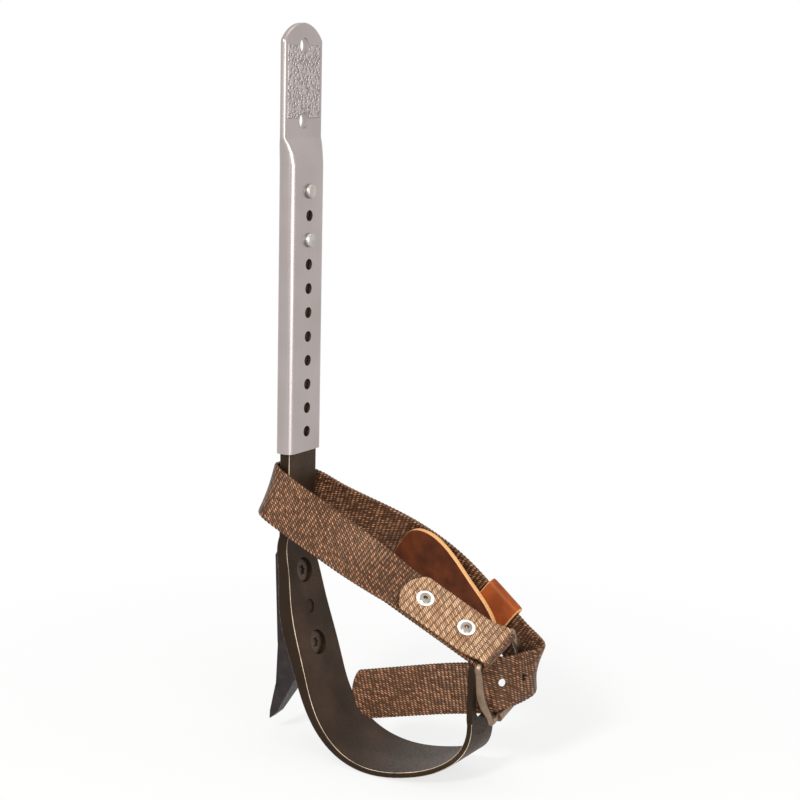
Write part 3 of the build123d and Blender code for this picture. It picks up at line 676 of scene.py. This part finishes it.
def nylon_webbing():
    """Woven nylon webbing: ribs across the strap, each filled with short slanted yarns. The outer face is
    finer, red-brown and flecked. The face that the fold turns out is coarser, and pale partly in its own
    tone and partly as painted light where the tail is lit. Rounded yarns get a painted highlight on top
    and painted shade in the dark gaps between, and each has a tone of its own. The selvedge shows a loop
    at each rib, with painted shade near black between the loops."""
    material, tree, shader = new_material("nylon_webbing_woven")
    place = add(tree, "SeparateXYZ", {0: add(tree, "UVMap", uv_map="along_across_mm")})
    face = add(tree, "Attribute", attribute_name="mark").outputs["Fac"]
    pitch = add(tree, "MapRange", {0: face, 3: FACE_RIB_PITCH, 4: TAIL_RIB_PITCH})
    row = add(tree, "Math", {0: place.outputs["X"], 1: pitch}, operation="DIVIDE")
    row_number = add(tree, "Math", {0: row}, operation="FLOOR")
    within = add(tree, "Math", {0: row}, operation="FRACT")
    lean = add(tree, "MapRange", {0: face, 3: FACE_YARN_LEAN, 4: TAIL_YARN_LEAN})
    yarn = add(tree, "Math", {0: place.outputs["Y"], 1: YARN_PITCH}, operation="DIVIDE")
    yarn = add(tree, "Math", {0: within, 1: lean, 2: yarn}, operation="MULTIPLY_ADD")
    yarn_number = add(tree, "Math", {0: yarn}, operation="FLOOR")
    row_wave = sine_half(tree, row)
    row_rise = add(tree, "Math", {0: row_wave, 1: 0.5}, operation="POWER")
    rise = add(tree, "Math", {0: row_rise, 1: sine_half(tree, yarn)}, operation="MULTIPLY")
    cell = add(tree, "CombineXYZ", {0: row_number, 1: yarn_number})
    shade = add(tree, "TexWhiteNoise", {"Vector": cell}, noise_dimensions="2D").outputs["Value"]
    tint = add(tree, "Mix", {0: face}, data_type="RGBA")
    for socket, tones in ((6, FACE_TONES), (7, TAIL_TONES_WITH_PAINTED_LIGHT)):
        ramp = add(tree, "ValToRGB", {0: shade})
        stops = ramp.color_ramp.elements
        stops[0].color = linear(tones[0])
        stops[1].color = linear(tones[2])
        stops.new(0.5).color = linear(tones[1])
        tree.links.new(ramp.outputs[0], tint.inputs[socket])
    # Painted shade: the low gaps between the yarns are drawn near black
    gap = add(tree, "MapRange", {0: rise, 1: 0.1, 2: 0.6})
    body = add(tree, "Mix", {0: gap, 6: linear("#2E1B10"), 7: tint.outputs[2]}, data_type="RGBA")
    # Painted highlight: the yarns' tops are drawn towards a pale glint colour, more on some yarns than
    # others
    top = add(tree, "MapRange", {0: rise, 1: 0.72, 2: 1.0, 3: 0.0, 4: 0.55})
    top = add(tree, "Math", {0: top, 1: shade}, operation="MULTIPLY")
    body = add(tree, "Mix", {0: top, 6: body.outputs[2], 7: linear("#E6C5A2")}, data_type="RGBA")
    # Painted shade: the selvedge is drawn near black between its loops and lighter on each loop
    loop = add(tree, "MapRange", {0: row_wave, 1: 0.45, 2: 0.75})
    edge = add(tree, "Mix", {0: loop, 6: linear("#170D07"), 7: linear("#7A5338")}, data_type="RGBA")
    out = add(tree, "Math", {0: place.outputs["Y"]}, operation="ABSOLUTE")
    out = add(tree, "MapRange", {0: out, 1: SELVEDGE_START, 2: SELVEDGE_START + SELVEDGE_FADE})
    body = add(tree, "Mix", {0: out, 6: body.outputs[2], 7: edge.outputs[2]}, data_type="RGBA")
    spot = add(tree, "TexCoord").outputs["Object"]
    soil = add(tree, "TexNoise", {"Vector": spot, "Scale": PER_MM / SOIL_PATCH, "Detail": 3.0})
    soil_share = add(tree, "MapRange", {0: soil, 1: 0.45, 2: 0.75, 3: 0.0, 4: 0.25})
    colour = add(tree, "Mix", {0: soil_share, 6: body.outputs[2], 7: linear("#4A2F1E")}, data_type="RGBA")
    bump = add(tree, "Bump", {"Height": rise, "Strength": 1.0, "Distance": YARN_DEPTH * MM})
    tree.links.new(colour.outputs[2], shader.inputs["Base Color"])
    tree.links.new(bump.outputs[0], shader.inputs["Normal"])
    shader.inputs["Roughness"].default_value = 0.3
    shader.inputs["Specular IOR Level"].default_value = 0.33
    shader.inputs["Specular Tint"].default_value = linear("#FFE2C4")
    return material


def finished_leather(name, light, dark):
    """Full-grain leather with a drummed finish: fine pebble grain, mottled dye, and raw tan where cut."""
    material, tree, shader = new_material(name)
    spot = add(tree, "TexCoord").outputs["Object"]
    mottle = add(tree, "TexNoise", {"Vector": spot, "Scale": PER_MM / DYE_MOTTLE, "Detail": 4.0})
    dye = add(tree, "ValToRGB", {0: mottle})
    dye.color_ramp.elements[0].position = 0.35
    dye.color_ramp.elements[0].color = linear(dark)
    dye.color_ramp.elements[1].position = 0.7
    dye.color_ramp.elements[1].color = linear(light)
    pebble = add(tree, "TexVoronoi", {"Vector": spot, "Scale": PER_MM / PEBBLE_GRAIN}, feature="SMOOTH_F1")
    fibre = add(tree, "TexNoise", {"Vector": spot, "Scale": PER_MM / CUT_FIBRE, "Detail": 3.0})
    raw = add(tree, "ValToRGB", {0: fibre})
    raw.color_ramp.elements[0].color = linear("#C98B50")
    raw.color_ramp.elements[1].color = linear("#F2C189")
    cut = add(tree, "Attribute", attribute_name="mark").outputs["Fac"]
    colour = add(tree, "Mix", {0: cut, 6: dye, 7: raw}, data_type="RGBA")
    rough = add(tree, "MapRange", {0: cut, 3: 0.42, 4: 0.85})
    bump = add(tree, "Bump", {"Height": pebble, "Strength": 0.25, "Distance": PEBBLE_DEPTH * MM})
    tree.links.new(colour.outputs[2], shader.inputs["Base Color"])
    tree.links.new(rough.outputs[0], shader.inputs["Roughness"])
    tree.links.new(bump.outputs[0], shader.inputs["Normal"])
    shader.inputs["Specular IOR Level"].default_value = 0.25
    shader.inputs["Specular Tint"].default_value = linear("#FFD9B8")
    return material


def black_oxide_steel():
    """Forged steel, blackened: a fine scale texture and brown-black oxide patches, with the bar's flanks
    painted darker as shade. A thin bright line along its rounded long edges is part rubbed wear and part
    painted highlight. The line lies where the rounding faces half to the flank and the bar is near its
    full width."""
    material, tree, shader = new_material("forged_steel_black_oxide")
    coords = add(tree, "TexCoord")
    spot = coords.outputs["Object"]
    scale = add(tree, "TexNoise", {"Vector": spot, "Scale": PER_MM / FORGE_SCALE, "Detail": 6.0})
    patch = add(tree, "TexNoise", {"Vector": spot, "Scale": PER_MM / OXIDE_PATCH, "Detail": 3.0})
    skin = add(tree, "ValToRGB", {0: patch})
    skin.color_ramp.elements[0].position = 0.35
    skin.color_ramp.elements[0].color = linear("#22170F")
    skin.color_ramp.elements[1].position = 0.7
    skin.color_ramp.elements[1].color = linear("#3D2C20")
    # Painted highlight, partly wear: a thin near-white line where the rounded long edges face half across,
    # dimmed in patches as rubbed
    facing = add(tree, "SeparateXYZ", {0: coords.outputs["Normal"]})
    tilt = add(tree, "Math", {0: facing.outputs["Y"]}, operation="ABSOLUTE")
    onto = add(tree, "MapRange", {0: tilt, 1: 0.44, 2: 0.56}, interpolation_type="SMOOTHSTEP")
    off = add(tree, "MapRange", {0: tilt, 1: 0.66, 2: 0.78, 3: 1.0, 4: 0.0}, interpolation_type="SMOOTHSTEP")
    arris = add(tree, "Math", {0: onto, 1: off}, operation="MULTIPLY")
    side = add(tree, "Math", {0: add(tree, "SeparateXYZ", {0: spot}).outputs["Y"]}, operation="ABSOLUTE")
    at_side = add(tree, "MapRange", {0: side, 1: ARRIS_START * MM, 2: ARRIS_FULL * MM})
    arris = add(tree, "Math", {0: arris, 1: at_side}, operation="MULTIPLY")
    rubbed = add(tree, "MapRange", {0: patch, 1: 0.35, 2: 0.6, 3: 0.35, 4: 1.0})
    wear_and_painted_highlight = add(tree, "Math", {0: arris, 1: rubbed}, operation="MULTIPLY")
    # Painted shade: the flanks, which face across, are drawn darker
    flank_painted_shade = add(tree, "MapRange", {0: tilt, 1: 0.8, 2: 0.95, 3: 0.0, 4: 0.8})
    skin = add(tree, "Mix", {0: flank_painted_shade, 6: skin, 7: linear("#1A110B")}, data_type="RGBA")
    colour = add(tree, "Mix", {0: wear_and_painted_highlight, 6: skin.outputs[2], 7: linear("#E4D3BC")}, data_type="RGBA")
    rough = add(tree, "MapRange", {0: scale, 1: 0.3, 2: 0.7, 3: 0.40, 4: 0.58})
    bump = add(tree, "Bump", {"Height": scale, "Strength": 0.35, "Distance": FORGE_SCALE_DEPTH * MM})
    tree.links.new(colour.outputs[2], shader.inputs["Base Color"])
    tree.links.new(rough.outputs[0], shader.inputs["Roughness"])
    tree.links.new(bump.outputs[0], shader.inputs["Normal"])
    shader.inputs["Specular IOR Level"].default_value = 0.22
    shader.inputs["Specular Tint"].default_value = linear("#FFDDB8")
    return material


def plated_sleeve_steel():
    """Cold-formed sheet steel, satin nickel plated: a mauve-grey with soft upright draw lines, which are
    drawn coarser than the real ones so that they show. The tongue's front has a field of small peened
    dents between the two pad holes, whose hollows are painted darker as shade."""
    material, tree, shader = new_material("sheet_steel_satin_plated")
    coords = add(tree, "TexCoord")
    spot = coords.outputs["Object"]
    stretched = add(tree, "Mapping", {"Vector": spot, "Scale": (1.0, 1.0, DRAW_STRETCH)})
    draw = add(tree, "TexNoise", {"Vector": stretched, "Scale": PER_MM / DRAW_LINE, "Detail": 3.0})
    cloud = add(tree, "TexNoise", {"Vector": spot, "Scale": PER_MM / PLATING_CLOUD, "Detail": 2.0})
    tone = add(tree, "ValToRGB", {0: cloud})
    tone.color_ramp.elements[0].color = linear("#A39997")
    tone.color_ramp.elements[1].color = linear("#B9AFAC")
    rough = add(tree, "MapRange", {0: draw, 1: 0.3, 2: 0.7, 3: 0.26, 4: 0.40})
    bump = add(tree, "Bump", {"Height": draw, "Strength": 0.06, "Distance": DRAW_DEPTH * MM})
    place = add(tree, "SeparateXYZ", {0: spot})
    side = add(tree, "Math", {0: place.outputs["Y"]}, operation="ABSOLUTE")
    half = PEENED_HALF * MM
    fade = PEENED_FADE * MM
    field = add(tree, "MapRange", {0: side, 1: half, 2: half + fade, 3: 1.0, 4: 0.0})
    for height, start, end in zip(PEENED_FIELD, (0.0, 1.0), (1.0, 0.0)):
        edge = height * MM
        within = add(tree, "MapRange", {0: place.outputs["Z"], 1: edge - fade, 2: edge, 3: start, 4: end})
        field = add(tree, "Math", {0: field, 1: within}, operation="MULTIPLY")
    facing = add(tree, "SeparateXYZ", {0: coords.outputs["Normal"]})
    front = add(tree, "MapRange", {0: facing.outputs["X"], 1: 0.7, 2: 0.9})
    field = add(tree, "Math", {0: field, 1: front}, operation="MULTIPLY")
    dents = add(tree, "TexVoronoi", {"Vector": spot, "Scale": PER_MM / DENT_SPACING})
    dents = add(tree, "MapRange", {0: dents.outputs["Distance"], 1: 0.2, 2: 0.6})
    depth = add(tree, "Math", {0: dents, 1: field}, operation="MULTIPLY")
    bump = add(tree, "Bump", {"Height": depth, "Strength": 1.0, "Distance": DENT_DEPTH * MM, "Normal": bump})
    # Painted shade: each dent's hollow is drawn darker than the metal round it
    dents_painted_shade = add(tree, "Mix", {0: dents, 6: linear("#5E5451"), 7: linear("#BFB6B3")}, data_type="RGBA")
    share = add(tree, "Math", {0: field, 1: 0.6}, operation="MULTIPLY")
    tone = add(tree, "Mix", {0: share, 6: tone, 7: dents_painted_shade.outputs[2]}, data_type="RGBA")
    tree.links.new(tone.outputs[2], shader.inputs["Base Color"])
    tree.links.new(rough.outputs[0], shader.inputs["Roughness"])
    tree.links.new(bump.outputs[0], shader.inputs["Normal"])
    shader.inputs["Metallic"].default_value = 1.0
    return material


def ground_metal(name, light, dark, grain_mm, low_rough, high_rough, metallic=1.0):
    """A metal with a ground or tumbled grain and slight staining. The real grain is too fine to show, so it
    is drawn as coarse as it needs to show."""
    material, tree, shader = new_material(name)
    spot = add(tree, "TexCoord").outputs["Object"]
    grain = add(tree, "TexNoise", {"Vector": spot, "Scale": PER_MM / grain_mm, "Detail": 4.0})
    stain = add(tree, "TexNoise", {"Vector": spot, "Scale": PER_MM / STAIN_PATCH, "Detail": 3.0})
    tone = add(tree, "ValToRGB", {0: stain})
    tone.color_ramp.elements[0].position = 0.3
    tone.color_ramp.elements[0].color = linear(dark)
    tone.color_ramp.elements[1].position = 0.7
    tone.color_ramp.elements[1].color = linear(light)
    rough = add(tree, "MapRange", {0: grain, 1: 0.3, 2: 0.7, 3: low_rough, 4: high_rough})
    bump = add(tree, "Bump", {"Height": grain, "Strength": 0.12, "Distance": GRAIN_DEPTH * MM})
    tree.links.new(tone.outputs[0], shader.inputs["Base Color"])
    tree.links.new(rough.outputs[0], shader.inputs["Roughness"])
    tree.links.new(bump.outputs[0], shader.inputs["Normal"])
    shader.inputs["Metallic"].default_value = metallic
    return material


def dress(names, material):
    """Gives CAD nodes a finished material in place of their plain one."""
    for name in names:
        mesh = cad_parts[name].data
        mesh.materials.clear()
        mesh.materials.append(material)


def place_camera():
    """The photograph's camera, upright in the frame apart from a small roll."""
    back = unit(CAMERA_BACK)
    level = unit(np.cross((0, 0, 1), back))
    upright = np.cross(back, level)
    roll = np.radians(CAMERA_ROLL)
    right = np.cos(roll) * level + np.sin(roll) * upright
    up = np.cos(roll) * upright - np.sin(roll) * level
    spot = (np.array(CAMERA_TARGET) + CAMERA_DISTANCE * back) * MM
    placed = np.eye(4)
    placed[:3] = np.stack((right, up, back, spot), axis=1)
    lens = bpy.data.cameras.new("photograph_camera")
    lens.sensor_width = CAMERA_SENSOR
    lens.lens = CAMERA_LENS
    lens.clip_start = CAMERA_NEAR * MM
    camera = bpy.data.objects.new("photograph_camera", lens)
    bpy.context.scene.collection.objects.link(camera)
    camera.matrix_world = Matrix(placed.tolist())
    bpy.context.scene.camera = camera


def place_lamp(name, spot, aim, size, power):
    """Soft square lamp at a spot, turned to what it lights."""
    lamp = bpy.data.lights.new(name, "AREA")
    lamp.shape = "SQUARE"
    lamp.size = size
    lamp.energy = power
    holder = bpy.data.objects.new(name, lamp)
    bpy.context.scene.collection.objects.link(holder)
    back = unit(np.array(spot) - np.array(aim))
    right = unit(np.cross((0, 0, 1), back))
    placed = np.eye(4)
    placed[:3] = np.stack((right, np.cross(back, right), back, spot), axis=1)
    holder.matrix_world = Matrix(placed.tolist())


def seen_share(tree):
    """One where the background is seen, straight on, in a gloss or through glass, and nought where it only
    lights something."""
    path = add(tree, "LightPath")
    seen = path.outputs["Is Camera Ray"]
    for ray in ("Is Glossy Ray", "Is Transmission Ray"):
        seen = add(tree, "Math", {0: seen, 1: path.outputs[ray]}, operation="MAXIMUM")
    return seen


def studio():
    """White room: a pale floor that keeps a soft shadow, a white world and soft lamps. The floor turns to
    plain white with distance from the middle."""
    level = CAD_BOX[0][2] - FLOOR_GAP
    corners = [(x * FLOOR_HALF, y * FLOOR_HALF, level) for x, y in ((-1, -1), (1, -1), (1, 1), (-1, 1))]
    mesh = bpy.data.meshes.new("studio_floor")
    mesh.from_pydata(corners, [], [(0, 1, 2, 3)])
    floor = bpy.data.objects.new("studio_floor", mesh)
    bpy.context.scene.collection.objects.link(floor)
    material, tree, shader = new_material("matt_white_paper")
    shader.inputs["Base Color"].default_value = linear("#F4F3F1")
    shader.inputs["Roughness"].default_value = 0.9
    glow = add(tree, "Emission", {"Color": (1, 1, 1, 1), "Strength": 1.0})
    away = add(tree, "VectorMath", {0: add(tree, "TexCoord").outputs["Object"]}, operation="LENGTH")
    away = away.outputs["Value"]
    white = add(tree, "MapRange", {0: away, 1: SHADOW_NEAR, 2: SHADOW_FAR, 3: SHADOW_WHITE, 4: 1.0})
    share = add(tree, "Math", {0: seen_share(tree), 1: white}, operation="MULTIPLY")
    both = add(tree, "MixShader", {0: share, 1: shader, 2: glow})
    tree.links.new(both.outputs[0], tree.nodes["Material Output"].inputs["Surface"])
    mesh.materials.append(material)
    world = bpy.data.worlds.new("white_room")
    world.use_nodes = True
    bpy.context.scene.world = world
    sky = world.node_tree
    strength = add(sky, "MapRange", {0: seen_share(sky), 3: ROOM_LIGHT, 4: 1.0})
    room = sky.nodes["Background"]
    room.inputs["Color"].default_value = (1, 1, 1, 1)
    sky.links.new(strength.outputs[0], room.inputs["Strength"])
    for lamp in LAMPS:
        place_lamp(*lamp)
    bpy.context.scene.view_settings.view_transform = "Standard"


def put_on(piece, body, material, node):
    """A finished piece: what it rides on, the solid it stands for and its material."""
    piece.data.materials.append(material)
    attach(piece, body)
    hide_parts(node)


place_camera()
studio()

put_on(strap_webbing(), "leg_iron", nylon_webbing(), "ankle_strap")

# The guard is dyed a deep red-brown, and the keeper keeps the lighter tan of its tannage
guard_leather = finished_leather("full_grain_leather_dyed", "#5E2A13", "#3E1A0B")
keeper_leather = finished_leather("full_grain_leather_tanned", "#984920", "#783616")
put_on(guard_pad(), "keeper", guard_leather, "leather_guard")
put_on(keeper_loop(), "keeper", keeper_leather, "leather_keeper")

# The phosphated screws are dull and a little paler than the iron, and the ground gaff is near black
dress(("leg_iron", "gaff_dowel_pin"), black_oxide_steel())
screw = ground_metal("screw_steel_phosphated", "#5C4C40", "#40342B", 0.7, 0.35, 0.5, 0.7)
put_on(gaff_screw_head("screw_head_upper", 1), "leg_iron", screw, "gaff_screw_upper")
put_on(gaff_screw_head("screw_head_lower", -1), "leg_iron", screw, "gaff_screw_lower")
dress(("gaff",), ground_metal("tool_steel_ground", "#362E2C", "#201B1A", 0.8, 0.35, 0.55, 0.6))

put_on(sleeve_tube(), "sleeve", plated_sleeve_steel(), "sleeve")

# The nickel is bright on small heads and brightest on the strap's two washers. The rolled rivets are
# drawn greyer, as painted shade round the roll and in its bore
bright = ground_metal("steel_bright_nickel", "#C6C2BC", "#A9A49D", 0.6, 0.34, 0.48)
washer = ground_metal("washer_steel_polished_nickel", "#F2F0EC", "#DDDAD4", 0.6, 0.3, 0.42)
rivet = ground_metal("rivet_steel_nickel_painted_shade", "#A39D95", "#7D776F", 0.6, 0.28, 0.4)
dress(("sleeve_screw_upper", "sleeve_screw_lower", "rivet_cap_upper", "rivet_cap_lower"), bright)
dress(("keeper_rivet",), bright)
dress(("rivet_washer_upper", "rivet_washer_lower"), washer)
dress(("strap_rivet_upper", "strap_rivet_lower"), rivet)

# The buckle's wire has a dull, warm plating with a soft gloss
wire = ground_metal("steel_wire_dull_plated", "#A38A75", "#7C6857", 0.7, 0.28, 0.45)
dress(("buckle_roller",), wire)
put_on(buckle_loop(), "buckle", wire, "buckle_frame")
put_on(prong_rod(), "prong", wire, "buckle_prong")
